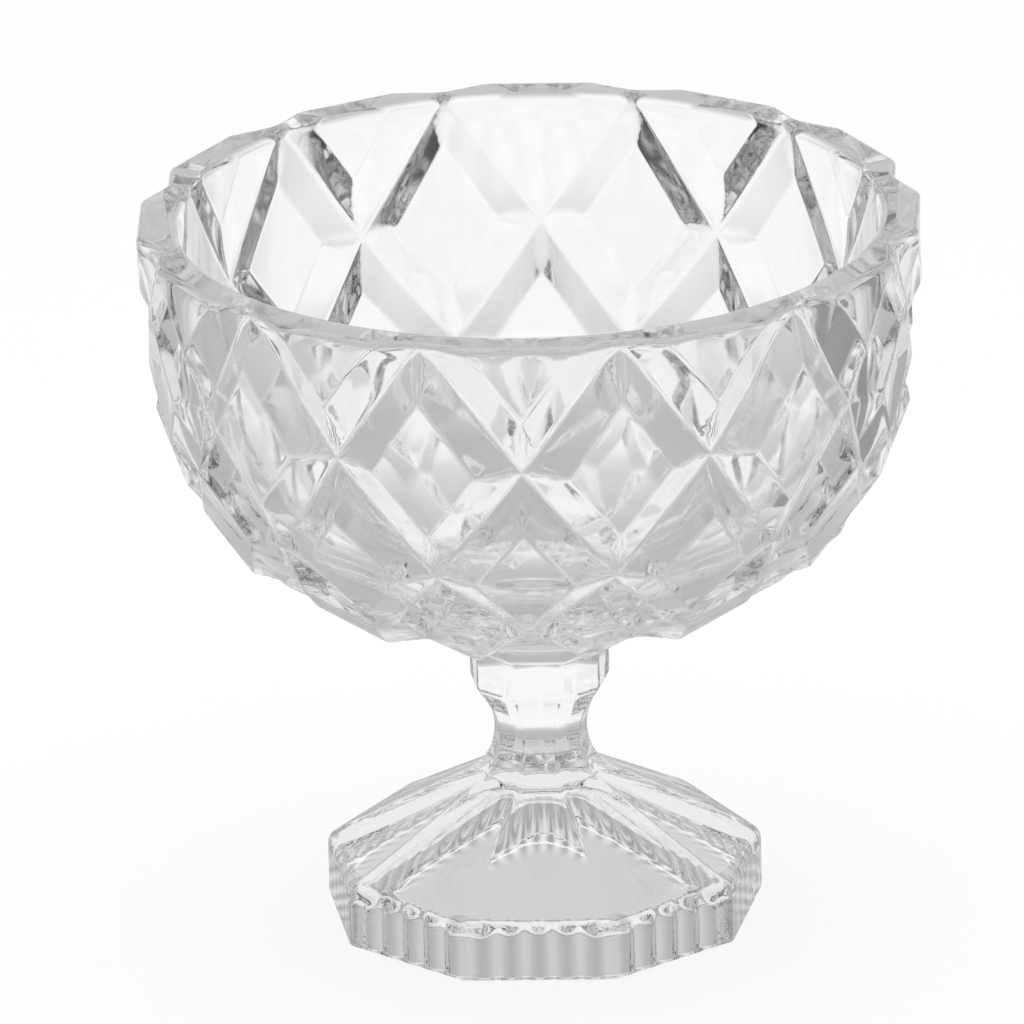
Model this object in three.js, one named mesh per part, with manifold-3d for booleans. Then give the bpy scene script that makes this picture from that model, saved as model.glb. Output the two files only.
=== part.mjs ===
// Footed centrepiece bowl in clear pressed glass: a lozenge-cut bowl bonded to a nine-sided hollow foot.
// Millimetres, +Z up, with the origin at the middle of the face that the foot stands on.
import * as THREE from 'three';
import { mergeVertices } from 'three/addons/utils/BufferGeometryUtils.js';
import Module from 'manifold-3d';

const wasm = await Module();
wasm.setup();

// Bowl lattice: rows of nodes where the grooves cross, from the rim down to the boss
const LOZENGES_AROUND = 12;
const RIM_NODE_RADIUS = 96.9;
const UPPER_NODE_RADIUS = 94;
const MIDDLE_NODE_RADIUS = 88;
const LOWER_NODE_RADIUS = 68;
const HUB_NODE_RADIUS = 37;
const BOSS_RADIUS = 20;

// Bowl lattice: height of each band between two rows
const RIM_BAND_HEIGHT = 35.5;
const UPPER_BAND_HEIGHT = 31.2;
const LOWER_BAND_HEIGHT = 22.1;
const UNDER_BAND_HEIGHT = 17.4;
const BOSS_HEIGHT = 7.5;

// Raised panel inside each lozenge: its height over the grooves, and its size against the lozenge
const RIM_PANEL_RAISE = 6.2;
const UPPER_PANEL_RAISE = 5.8;
const LOWER_PANEL_RAISE = 6.8;
const UNDER_PANEL_RAISE = 5;
const PANEL_SHARE = 0.57;

// Bowl inside
const RIM_WALL = 7;
const SIDE_WALL = 4.2;
const FLOOR_THICKNESS = 12;
const LIP_CHAMFER = 1.6;

// Foot: corner radii of its nine-sided sections
const FOOT_SIDES = 9;
const BASE_RADIUS = 57;
const ROOF_TOP_RADIUS = 20;
const WAIST_RADIUS = 12.2;
const COLLAR_RADIUS = 18.3;

// Foot: heights, stacked from the table up
const SKIRT_HEIGHT = 16;
const ROOF_RISE = 20;
const FLARE_RISE = 13.5;
const TAPER_RISE = 13.5;
const COLLAR_HEIGHT = 12.8;

// Foot: how far up the taper its bend is led before it opens to the collar
const TAPER_LEAD = 0.4;

// Foot: edges
const BASE_CHAMFER = 0.8;
const ROOF_EDGE_BEVEL = 2.6;
const COLLAR_CHAMFER = 2.5;

// Foot: hollow underneath
const ROOF_EDGE_GLASS = 6;
const ROOF_CROWN_GLASS = 8.5;
const SKIRT_WALL = 2.8;
const HOLLOW_TOP_RADIUS = 9;
const FLUTES_PER_SIDE = 5;
const FLUTE_DEPTH = 1.7;

// Bond between the collar and the boss
const BOND_THICKNESS = 0.3;
const BOND_INSET = 0.6;

// Fineness of the round surfaces
const CAVITY_SEGMENTS = 72;
const CAVITY_RINGS = 16;
const CURVE_STEPS = 6;
const FLUTE_STEPS = 4;
const CUT_OVERLAP = 2;

const BOWL_RISE = RIM_BAND_HEIGHT + UPPER_BAND_HEIGHT + LOWER_BAND_HEIGHT + UNDER_BAND_HEIGHT + BOSS_HEIGHT;
const ROOF_TOP_Z = SKIRT_HEIGHT + ROOF_RISE;
const WAIST_Z = ROOF_TOP_Z + FLARE_RISE;
const COLLAR_Z = WAIST_Z + TAPER_RISE;
const FOOT_HEIGHT = COLLAR_Z + COLLAR_HEIGHT;
const FACE_COSINE = Math.cos(Math.PI / FOOT_SIDES);
const ROOF_SLOPE = ROOF_RISE / (BASE_RADIUS - ROOF_TOP_RADIUS);
const FLUTE_CREST = BASE_RADIUS * FACE_COSINE - SKIRT_WALL - FLUTE_DEPTH;

// Glass seen as a pale grey, and the bond a little greyer
function clearGlass() {
  return new THREE.MeshStandardMaterial({ color: 0xe9eeee, roughness: 0.04, metalness: 0 });
}

function curedBond() {
  return new THREE.MeshStandardMaterial({ color: 0xdde1e0, roughness: 0.2, metalness: 0 });
}

// A point on a ring, with the angle counted in turns from the front towards +X
function onRing(radius, turns, z) {
  const angle = 2 * Math.PI * turns;
  return new THREE.Vector3(radius * Math.sin(angle), -radius * Math.cos(angle), z);
}

// Closed mesh from a list of outward triangles
function meshOf(triangles) {
  const positions = triangles.flat().flatMap((point) => [point.x, point.y, point.z]);
  const geometry = new THREE.BufferGeometry();
  geometry.setAttribute('position', new THREE.Float32BufferAttribute(positions, 3));
  return geometry;
}

// A flat polygon or a strip between two edges, as triangles
function fan(points) {
  return points.slice(2).map((point, i) => [points[0], points[i + 1], point]);
}

function solidOf(geometry) {
  const bare = geometry.clone();
  bare.deleteAttribute('normal');
  bare.deleteAttribute('uv');
  const merged = mergeVertices(bare, 1e-4);
  const vertProperties = new Float32Array(merged.attributes.position.array);
  const triVerts = new Uint32Array(merged.index.array);
  return new wasm.Manifold(new wasm.Mesh({ numProp: 3, vertProperties, triVerts }));
}

function geometryOf(solid) {
  const { numProp, vertProperties, triVerts } = solid.getMesh();
  const positions = [];
  for (const vertex of triVerts) {
    positions.push(...vertProperties.subarray(vertex * numProp, vertex * numProp + 3));
  }
  const geometry = new THREE.BufferGeometry();
  geometry.setAttribute('position', new THREE.Float32BufferAttribute(positions, 3));
  geometry.computeVertexNormals();
  return geometry;
}

// Solid of revolution around +Z from (radius, height) points that start and end on the axis, going up
function turned(points, segments) {
  const profile = points.map(([radius, height]) => new THREE.Vector2(radius, height));
  return new THREE.LatheGeometry(profile, segments).rotateX(Math.PI / 2);
}

// Rows of lattice nodes: every second row is turned by half a lozenge
function latticeRows() {
  const hub = BOSS_HEIGHT;
  const lower = hub + UNDER_BAND_HEIGHT;
  const middle = lower + LOWER_BAND_HEIGHT;
  const upper = middle + UPPER_BAND_HEIGHT;
  return {
    rim: { radius: RIM_NODE_RADIUS, z: BOWL_RISE, shift: 0.5 },
    upper: { radius: UPPER_NODE_RADIUS, z: upper, shift: 0 },
    middle: { radius: MIDDLE_NODE_RADIUS, z: middle, shift: 0.5 },
    lower: { radius: LOWER_NODE_RADIUS, z: lower, shift: 0 },
    hub: { radius: HUB_NODE_RADIUS, z: hub, shift: 0.5 },
    boss: { radius: BOSS_RADIUS, z: 0, shift: 0.5 },
  };
}

function latticeNode(row, k) {
  return onRing(row.radius, (k + row.shift) / LOZENGES_AROUND, row.z);
}

// Corners of a raised flat panel: the lozenge drawn in towards its centre and lifted off it
function panelCorners(corners, centre, across, upward, raise) {
  const normal = new THREE.Vector3().crossVectors(across, upward).normalize();
  return corners.map((corner) => {
    const arm = corner.clone().sub(centre);
    arm.addScaledVector(normal, -arm.dot(normal));
    return centre.clone().addScaledVector(arm, PANEL_SHARE).addScaledVector(normal, raise);
  });
}

// Bevels from the grooves up to the panel, one for each side that the two outlines share
function bevels(corners, panel, closed) {
  const sides = closed ? corners.length : corners.length - 1;
  const triangles = [];
  for (let i = 0; i < sides; i += 1) {
    const next = (i + 1) % corners.length;
    triangles.push(...fan([corners[i], corners[next], panel[next], panel[i]]));
  }
  return triangles;
}

// A whole lozenge, its corners given as left, bottom, right, top
function lozenge(left, bottom, right, top, raise) {
  const corners = [left, bottom, right, top];
  const centre = new THREE.Vector3();
  corners.forEach((corner) => centre.addScaledVector(corner, 1 / corners.length));
  const across = right.clone().sub(left);
  const upward = top.clone().sub(bottom);
  const panel = panelCorners(corners, centre, across, upward, raise);
  return [...bevels(corners, panel, true), ...fan(panel)];
}

// A half lozenge that the rim cuts off: its triangles and the corners of its lobe on the rim
function rimLozenge(left, bottom, right, raise) {
  const corners = [left, bottom, right];
  const centre = left.clone().lerp(right, 0.5);
  const across = right.clone().sub(left);
  const upward = centre.clone().sub(bottom);
  const panel = panelCorners(corners, centre, across, upward, raise);
  panel[0].z = left.z;
  panel[2].z = right.z;
  return { triangles: [...bevels(corners, panel, false), ...fan(panel)], lobe: [left, panel[0], panel[2]] };
}

function bowlOutside() {
  const { rim, upper, middle, lower, hub, boss } = latticeRows();
  const triangles = [];
  const rimOutline = [];
  const bossOutline = [];
  for (let k = 0; k < LOZENGES_AROUND; k += 1) {
    const edge = rimLozenge(
      latticeNode(rim, k - 1), latticeNode(upper, k), latticeNode(rim, k), RIM_PANEL_RAISE);
    triangles.push(...edge.triangles);
    rimOutline.push(...edge.lobe);
    triangles.push(...lozenge(
      latticeNode(upper, k), latticeNode(middle, k), latticeNode(upper, k + 1), latticeNode(rim, k),
      UPPER_PANEL_RAISE));
    triangles.push(...lozenge(
      latticeNode(middle, k - 1), latticeNode(lower, k), latticeNode(middle, k), latticeNode(upper, k),
      LOWER_PANEL_RAISE));
    triangles.push(...lozenge(
      latticeNode(lower, k), latticeNode(hub, k), latticeNode(lower, k + 1), latticeNode(middle, k),
      UNDER_PANEL_RAISE));
    triangles.push([latticeNode(hub, k - 1), latticeNode(hub, k), latticeNode(lower, k)]);
    triangles.push(...fan([
      latticeNode(boss, k - 1), latticeNode(boss, k), latticeNode(hub, k), latticeNode(hub, k - 1)]));
    bossOutline.push(latticeNode(boss, k));
  }
  const rimCentre = new THREE.Vector3(0, 0, rim.z);
  rimOutline.forEach((point, i) => {
    triangles.push([rimCentre, point, rimOutline[(i + 1) % rimOutline.length]]);
  });
  triangles.push(...fan(bossOutline.reverse()));
  return meshOf(triangles);
}

// The smooth inside keeps a wall behind the deepest grooves
function bowlInside() {
  const { rim, upper, middle, lower, hub } = latticeRows();
  const grooveSag = Math.cos(Math.PI / LOZENGES_AROUND / 2);
  const innerPoint = (above, row, below) => {
    const rise = new THREE.Vector2(above.radius - below.radius, above.z - below.z).normalize();
    return new THREE.Vector3(
      row.radius * grooveSag - SIDE_WALL * rise.y, 0, row.z + SIDE_WALL * rise.x);
  };
  const lip = new THREE.Vector3(rim.radius - RIM_WALL, 0, rim.z - LIP_CHAMFER);
  const wall = [innerPoint(middle, lower, hub), innerPoint(upper, middle, lower), innerPoint(rim, upper, middle)];
  const floor = new THREE.Vector3(0, 0, FLOOR_THICKNESS);
  const mirrored = [...wall].reverse().map((point) => new THREE.Vector3(-point.x, 0, point.z));
  const section = new THREE.CatmullRomCurve3([...mirrored, floor, ...wall, lip], false, 'centripetal');
  const floorAt = mirrored.length / (mirrored.length + wall.length + 1);
  const points = [[0, FLOOR_THICKNESS]];
  for (let i = 1; i <= CAVITY_RINGS; i += 1) {
    const { x, z } = section.getPoint(floorAt + ((1 - floorAt) * i) / CAVITY_RINGS);
    points.push([x, z]);
  }
  const lipRadius = lip.x + LIP_CHAMFER;
  points.push([lipRadius, rim.z], [lipRadius, rim.z + CUT_OVERLAP], [0, rim.z + CUT_OVERLAP]);
  return turned(points, CAVITY_SEGMENTS);
}

function bowl() {
  const solid = solidOf(bowlOutside()).subtract(solidOf(bowlInside()));
  return geometryOf(solid);
}

// Points of a smooth bend between two ends, led by one control point
function bend(start, control, end) {
  const curve = new THREE.QuadraticBezierCurve(
    new THREE.Vector2(...start), new THREE.Vector2(...control), new THREE.Vector2(...end));
  return curve.getPoints(CURVE_STEPS).map(({ x, y }) => [x, y]);
}

// Corner radius and height of each section of the foot, from the table up
function footProfile() {
  const flareControl = [WAIST_RADIUS, ROOF_TOP_Z + ROOF_SLOPE * (ROOF_TOP_RADIUS - WAIST_RADIUS)];
  const taperControl = [WAIST_RADIUS, WAIST_Z + TAPER_RISE * TAPER_LEAD];
  return [
    [BASE_RADIUS - BASE_CHAMFER, 0],
    [BASE_RADIUS, BASE_CHAMFER],
    [BASE_RADIUS, SKIRT_HEIGHT - ROOF_EDGE_BEVEL],
    [BASE_RADIUS - ROOF_EDGE_BEVEL, SKIRT_HEIGHT + ROOF_SLOPE * ROOF_EDGE_BEVEL],
    ...bend([ROOF_TOP_RADIUS, ROOF_TOP_Z], flareControl, [WAIST_RADIUS, WAIST_Z]),
    ...bend([WAIST_RADIUS, WAIST_Z], taperControl, [COLLAR_RADIUS, COLLAR_Z]).slice(1),
    [COLLAR_RADIUS, FOOT_HEIGHT - COLLAR_CHAMFER],
    [COLLAR_RADIUS - COLLAR_CHAMFER, FOOT_HEIGHT],
  ];
}

// Nine-sided loft, with a flat face of the foot at the front
function footOutside() {
  const rings = footProfile().map(([radius, z]) => Array.from(
    { length: FOOT_SIDES }, (_, i) => onRing(radius, (i - 0.5) / FOOT_SIDES, z)));
  const triangles = [...fan([...rings[0]].reverse()), ...fan(rings[rings.length - 1])];
  for (let j = 0; j + 1 < rings.length; j += 1) {
    for (let i = 0; i < FOOT_SIDES; i += 1) {
      const next = (i + 1) % FOOT_SIDES;
      triangles.push(...fan([rings[j][i], rings[j][next], rings[j + 1][next], rings[j + 1][i]]));
    }
  }
  return meshOf(triangles);
}

// Upright flutes all round the inside of the skirt
function flutedWall() {
  const halfSide = FLUTE_CREST * Math.tan(Math.PI / FOOT_SIDES);
  const outline = [];
  for (let side = 0; side < FOOT_SIDES; side += 1) {
    const turn = (2 * Math.PI * side) / FOOT_SIDES - Math.PI / 2;
    for (let i = 0; i < FLUTES_PER_SIDE * FLUTE_STEPS; i += 1) {
      const flute = Math.floor(i / FLUTE_STEPS);
      const swing = (Math.PI * (i % FLUTE_STEPS)) / FLUTE_STEPS;
      const along = halfSide * ((2 * flute + 1 - Math.cos(swing)) / FLUTES_PER_SIDE - 1);
      const out = FLUTE_CREST + FLUTE_DEPTH * Math.sin(swing);
      outline.push(new THREE.Vector2(
        out * Math.cos(turn) - along * Math.sin(turn), out * Math.sin(turn) + along * Math.cos(turn)));
    }
  }
  const depth = FOOT_HEIGHT + CUT_OVERLAP;
  return new THREE.ExtrudeGeometry(new THREE.Shape(outline), { depth, bevelEnabled: false, steps: 1 })
    .translate(0, 0, -CUT_OVERLAP);
}

// Ceiling of the hollow: a cone, with glass over it that thickens from the skirt to the stem
function hollowCeiling() {
  const crownRadius = ROOF_TOP_RADIUS * FACE_COSINE;
  const crownZ = ROOF_TOP_Z - ROOF_CROWN_GLASS;
  const roofDrop = (ROOF_SLOPE / FACE_COSINE) * (FLUTE_CREST - crownRadius);
  const slope = (roofDrop + ROOF_EDGE_GLASS - ROOF_CROWN_GLASS) / (FLUTE_CREST - crownRadius);
  const ceilingAt = (radius) => crownZ - slope * (radius - crownRadius);
  const points = [
    [0, -CUT_OVERLAP],
    [BASE_RADIUS, -CUT_OVERLAP],
    [BASE_RADIUS, ceilingAt(BASE_RADIUS)],
    [HOLLOW_TOP_RADIUS, ceilingAt(HOLLOW_TOP_RADIUS)],
    [0, ceilingAt(HOLLOW_TOP_RADIUS)],
  ];
  return turned(points, CAVITY_SEGMENTS);
}

function foot() {
  const hollow = solidOf(flutedWall()).intersect(solidOf(hollowCeiling()));
  return geometryOf(solidOf(footOutside()).subtract(hollow));
}

function bondFilm() {
  const radius = (COLLAR_RADIUS - COLLAR_CHAMFER) * FACE_COSINE - BOND_INSET;
  return turned([[0, 0], [radius, 0], [radius, BOND_THICKNESS], [0, BOND_THICKNESS]], CAVITY_SEGMENTS);
}

function piece(name, geometry, material, z) {
  const mesh = new THREE.Mesh(geometry, material);
  mesh.name = name;
  mesh.position.z = z;
  return mesh;
}

const centrepieceBowl = new THREE.Group();
centrepieceBowl.add(
  piece('foot', foot(), clearGlass(), 0),
  piece('bond_film', bondFilm(), curedBond(), FOOT_HEIGHT),
  piece('bowl', bowl(), clearGlass(), FOOT_HEIGHT + BOND_THICKNESS),
);

export default centrepieceBowl;
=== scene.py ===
"""Looks of a footed pressed-glass centrepiece bowl: cut bowl, hollow foot and the bond between them."""
import math

import bpy
import numpy as np
from bpy.props import FloatProperty, FloatVectorProperty, IntProperty, PointerProperty
from mathutils import Matrix, Vector


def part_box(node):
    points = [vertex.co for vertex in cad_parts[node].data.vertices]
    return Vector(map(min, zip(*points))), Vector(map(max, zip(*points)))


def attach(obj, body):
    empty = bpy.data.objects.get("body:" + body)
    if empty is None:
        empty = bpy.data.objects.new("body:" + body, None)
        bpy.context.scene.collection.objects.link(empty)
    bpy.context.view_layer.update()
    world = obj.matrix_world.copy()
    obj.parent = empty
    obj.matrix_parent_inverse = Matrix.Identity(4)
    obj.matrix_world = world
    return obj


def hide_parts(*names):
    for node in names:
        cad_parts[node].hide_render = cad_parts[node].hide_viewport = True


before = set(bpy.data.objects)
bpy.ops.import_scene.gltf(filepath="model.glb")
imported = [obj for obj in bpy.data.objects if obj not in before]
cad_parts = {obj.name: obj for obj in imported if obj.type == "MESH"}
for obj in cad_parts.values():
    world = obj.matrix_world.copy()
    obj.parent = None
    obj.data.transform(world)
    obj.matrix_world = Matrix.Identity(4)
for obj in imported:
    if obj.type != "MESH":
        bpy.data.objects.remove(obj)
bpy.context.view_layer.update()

bl_info = {
    "name": "Pressed glass centrepiece bowl",
    "version": (1, 0, 0),
    "blender": (4, 5, 0),
    "location": "View3D > Sidebar > Centrepiece",
    "description": "Builds a footed pressed-glass bowl, its glass and its studio stage",
    "category": "Object",
}

MM = 0.001
PHOTO_PIXELS = 1024
ROUND_STEPS = 96
WHITE = (1.0, 1.0, 1.0, 1.0)
BOWL_LOW, BOWL_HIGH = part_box("bowl")
FOOT_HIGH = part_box("foot")[1]
BOND_LOW, BOND_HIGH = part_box("bond_film")


# Sizes, finishes and stage values that a user would change

def count(name, description, default, least):
    return IntProperty(name=name, description=description, default=default, min=least)


def length(name, description, millimetres):
    return FloatProperty(
        name=name, description=description, default=millimetres * MM, min=0.0, unit="LENGTH")


def share(name, description, default):
    return FloatProperty(
        name=name, description=description, default=default, min=0.0, max=1.0, subtype="FACTOR")


def number(name, description, default):
    return FloatProperty(name=name, description=description, default=default, min=0.0)


def turn(name, description, degrees):
    return FloatProperty(
        name=name, description=description, default=math.radians(degrees), subtype="ANGLE")


def tint(name, description, default):
    return FloatVectorProperty(
        name=name, description=description, default=default, size=3, min=0.0, max=1.0, subtype="COLOR")


def grey(name, description, level):
    return tint(name, description, (level, level, level))


class CentrepieceBowlSizes(bpy.types.PropertyGroup):
    """Sizes of the bowl's lattice, wall and rim"""
    lozenges: count("Lozenges", "Lozenges in one row around the bowl", 12, 3)
    rim_radius: length("Rim nodes", "Radius of the groove ends on the rim", 96.9)
    upper_radius: length("Upper nodes", "Radius of the first row of groove crossings", 94)
    middle_radius: length("Middle nodes", "Radius of the second row of groove crossings", 88)
    lower_radius: length("Lower nodes", "Radius of the third row of groove crossings", 68)
    hub_radius: length("Hub nodes", "Radius of the groove ends under the bowl", 37)
    boss_radius: length("Boss", "Radius of the ground boss that the bond holds", 20)
    rim_band: length("Rim band", "Height from the rim to the first row", 35.5)
    upper_band: length("Upper band", "Height from the first row to the second", 31.2)
    lower_band: length("Lower band", "Height from the second row to the third", 22.1)
    under_band: length("Under band", "Height from the third row to the hub", 17.4)
    rim_raise: length("Rim panels", "Height of the rim panels over their grooves", 6.2)
    upper_raise: length("Upper panels", "Height of the upper panels over their grooves", 5.8)
    lower_raise: length("Lower panels", "Height of the lower panels over their grooves", 6.8)
    under_raise: length("Under panels", "Height of the under panels over their grooves", 5)
    panel_share: share("Panel share", "Size of a flat panel against its lozenge", 0.57)
    edge_softness: share(
        "Edge softness", "Half width of the rounded panel edges against the lozenge", 0.035)
    rim_wall: length("Rim wall", "Wall between the rim nodes and the inside", 7)
    side_wall: length("Side wall", "Wall behind the grooves", 4.2)
    floor_thickness: length("Floor", "Glass between the boss and the inside", 12)
    lip_radius: length("Lip", "Rounding of the rim's two edges", 2)


class CentrepieceFootSizes(bpy.types.PropertyGroup):
    """Sizes of the foot's sections, heights and hollow"""
    sides: count("Sides", "Flat sides around the foot", 9, 3)
    roof_top_radius: length("Roof top", "Corner radius where the roof turns up into the stem", 20)
    waist_radius: length("Waist", "Corner radius of the stem's waist", 12.2)
    collar_radius: length("Collar", "Corner radius of the collar", 18.3)
    skirt_height: length("Skirt", "Height of the upright skirt", 16)
    roof_rise: length("Roof rise", "Height of the sloping roof", 20)
    flare_rise: length("Flare", "Height from the roof up to the waist", 13.5)
    taper_rise: length("Taper", "Height from the waist up to the collar", 13.5)
    taper_lead: share("Taper lead", "How far up the taper its bend is led", 0.4)
    corner_radius: length("Corners", "Rounding of the upright corners", 2.4)
    roof_edge: length("Roof edge", "Rounding between skirt and roof", 2.6)
    base_edge: length("Base edge", "Rounding of the edges on the table", 0.8)
    collar_edge: length("Collar edge", "Slope at the top of the collar", 2.5)
    collar_rounding: length("Collar rounding", "Rounding of the collar's lower and upper edge", 0.8)
    top_rounding: length("Top rounding", "Rounding between the collar's slope and its top", 0.6)
    edge_glass: length("Edge glass", "Glass over the hollow at the skirt, measured upright", 6)
    crown_glass: length(
        "Crown glass", "Glass over the hollow at the top of the roof, measured upright", 8.5)
    skirt_wall: length("Skirt wall", "Glass between the skirt and the flutes", 2.8)
    hollow_top: length("Hollow top", "Radius of the flat top of the hollow", 9)
    hollow_fillet: length("Hollow fillet", "Rounding between the flutes and the ceiling", 1.8)
    flutes: count("Flutes", "Flutes behind each flat side", 5, 1)
    flute_depth: length("Flute depth", "Depth of the flutes in the hollow's wall", 1.7)


class CentrepieceBondSizes(bpy.types.PropertyGroup):
    """Sizes of the bond's edge"""
    clearance: length("Clearance", "Gap that keeps the bond off the glass above and below", 0.02)
    draw: length("Draw", "How far the bond's edge is drawn in", 0.15)


class CentrepieceFinish(bpy.types.PropertyGroup):
    """Finish of the clear glass and the bond, and the shade painted into the foot's flutes"""
    glass_tint: tint("Glass", "Colour of the clear glass", (0.995, 0.998, 0.998))
    glass_shade: tint(
        "Glass shade", "Colour of the glass where it is a little greyer", (0.972, 0.98, 0.981))
    glass_ior: number("Glass bending", "Index of refraction of the glass", 1.52)
    bowl_ripple: length("Bowl ripples", "Width of the slow ripples that pressing leaves in the bowl", 14)
    foot_ripple: length("Foot ripples", "Width of the slow ripples that pressing leaves in the foot", 9.8)
    ripple_depth: length("Ripple depth", "Depth of those ripples", 0.05)
    bowl_polish: share("Bowl polish", "Roughness of the bowl's fire-polished surface", 0.05)
    foot_polish: share("Foot polish", "Roughness of the foot's fire-polished surface", 0.015)
    smear_size: length("Smear size", "Width of the faint smears", 45)
    smear: share("Smears", "Extra roughness in those smears", 0.03)
    # Painted shade: grey in the middle of each flute that stands in for the dark bands the flutes refract
    painted_flute_shade: tint(
        "Flutes", "Colour of the glass in the middle of the foot's flutes", (0.52, 0.525, 0.526))
    bond_tint: tint("Bond", "Colour of the cured bond", (0.93, 0.94, 0.94))
    bond_ior: number("Bond bending", "Index of refraction of the bond", 1.48)
    bond_polish: share("Bond polish", "Roughness of the bond where it is clear", 0.05)
    bond_haze: share("Bond haze", "Extra roughness where the bond is hazy", 0.15)
    haze_size: length("Haze size", "Width of the hazy patches", 4)
    bubble_size: length("Bubble size", "Width of the tiny bubbles in the bond", 1.5)
    bubble_depth: length("Bubble depth", "Depth of the dents that those bubbles make", 0.1)
    bubble_strength: share("Bubble strength", "How clearly those dents show", 0.4)


class CentrepieceStage(bpy.types.PropertyGroup):
    """Camera, floor, cards and light"""
    camera_turn: turn("Camera turn", "Camera's angle round the bowl, from the front towards +X", 2.0)
    camera_rise: turn("Camera rise", "Camera's angle above the horizon", 20.9)
    camera_roll: turn("Camera roll", "Camera's lean", 1.36)
    camera_distance: length("Camera distance", "From the camera to the point that it looks at", 5142)
    camera_aim: length("Aim height", "Height of the point that the camera looks at", 108.2)
    camera_aside: length("Aim aside", "How far left of the axis the camera looks", 6.05)
    camera_reach: length("Camera reach", "How far the camera sees", 100000)
    focal_pixels: number("Focal length", "Focal length in pixels of the photo's frame", 20040.0)
    floor_radius: length("Floor", "Radius of the pale floor", 6000)
    floor_gap: length("Floor gap", "How far the floor lies under the foot", 0.2)
    floor_tint: grey("Floor colour", "Colour of the floor", 0.9)
    floor_grain: length("Floor grain", "Width of the floor's faint grain", 30)
    floor_white: share("Floor white", "How much of the floor's white is free of shadow", 0.9)
    sky_strength: number("Sky", "Strength of the even light from all round", 0.6)
    ceiling_tint: grey("Ceiling", "Colour of the sky in reflections", 0.86)
    key_power: number("Key light", "Power of the soft light overhead, in watts", 12.0)
    key_size: length("Key size", "Width of the soft light overhead", 1200)
    key_height: length("Key height", "Height of the soft light overhead", 1400)
    key_back: length("Key back", "How far behind the bowl's axis the soft light hangs", 100)
    key_aim: length("Key aim", "Height of the point that the soft light points at", 100)
    # Painted shade on the floor as the glass shows it: under the bowl, inside the foot and beside the white
    # strip
    shade_tint: grey("Shade", "Floor's colour under the bowl as the glass shows it", 0.5)
    hollow_painted_shade: grey("Hollow shade", "Floor's colour inside the foot as the glass shows it", 0.62)
    # Painted light and shade: streaks on the floor at the foot's wall, as the glass shows it
    painted_light_streak_tint: grey("Light streaks", "Colour of the light streaks at the foot's wall", 0.88)
    painted_shade_streak_tint: grey("Dark streaks", "Colour of the dark streaks at the foot's wall", 0.34)
    streaks: number("Streak count", "Streaks of light on the floor around the foot's wall", 45.0)
    streak_radius: length("Streak radius", "Radius at which the streaks are strongest", 50)
    shade_radius: length("Shade radius", "Radius of the deepest of that shade", 120)
    white_radius: length("White radius", "Radius at which that shade has cleared to white", 480)
    white_width: length(
        "White width", "Half width of the white strip behind the bowl, as the glass shows it", 100)
    side_white: share("Side white", "How white the floor is beside that strip", 0.5)
    side_radius: length("Side radius", "Radius up to which the floor beside that strip stays so", 550)
    card_distance: length("Card distance", "Radius of the arc that the cards stand on", 450)
    card_height: length("Card height", "Height of the cards", 400)
    card_grain: length("Card grain", "Width of the grain in the cards", 80)
    front_span: turn("Front span", "Angle that the card on the camera's side takes up", 160)
    side_turn: turn("Side turn", "Angle from the back to the middle of a card beside the bowl", 70)
    side_span: turn("Side span", "Angle that a card beside the bowl takes up", 60)
    flag_tint: grey("Front card", "Colour of the dark card on the camera's side", 0.01)
    left_tint: grey("Left card", "Colour of the grey card left of the bowl", 0.65)
    right_tint: grey("Right card", "Colour of the grey card right of the bowl", 0.38)


GROUPS = {
    "centrepiece_bowl": CentrepieceBowlSizes,
    "centrepiece_foot": CentrepieceFootSizes,
    "centrepiece_bond": CentrepieceBondSizes,
    "centrepiece_finish": CentrepieceFinish,
    "centrepiece_stage": CentrepieceStage,
}


# Shader graphs

class Shade:
    """A value on its way through a node graph; arithmetic on it adds Math nodes"""

    def __init__(self, graph, socket):
        self.graph = graph
        self.socket = socket

    def output(self, name):
        """Another output of the node that gave this value"""
        return Shade(self.graph, self.socket.node.outputs[name])

    def math(self, operation, second=0.0):
        """Math node with this value first"""
        return self.graph.math(operation, self, second)

    def wave(self):
        """Cosine wave between 0 and 1, with this value as its angle"""
        return self.math("COSINE") * 0.5 + 0.5

    def __add__(self, other):
        return self.math("ADD", other)

    __radd__ = __add__

    def __sub__(self, other):
        return self.math("SUBTRACT", other)

    def __rsub__(self, other):
        return self.graph.math("SUBTRACT", other, self)

    def __mul__(self, other):
        return self.math("MULTIPLY", other)

    __rmul__ = __mul__

    def __pow__(self, other):
        return self.math("POWER", other)

    def __rpow__(self, other):
        return self.graph.math("POWER", other, self)

    def __gt__(self, other):
        return self.math("GREATER_THAN", other)

    def __lt__(self, other):
        return self.math("LESS_THAN", other)

    def __neg__(self):
        return self * -1.0

    def __abs__(self):
        return self.math("ABSOLUTE")


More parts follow.
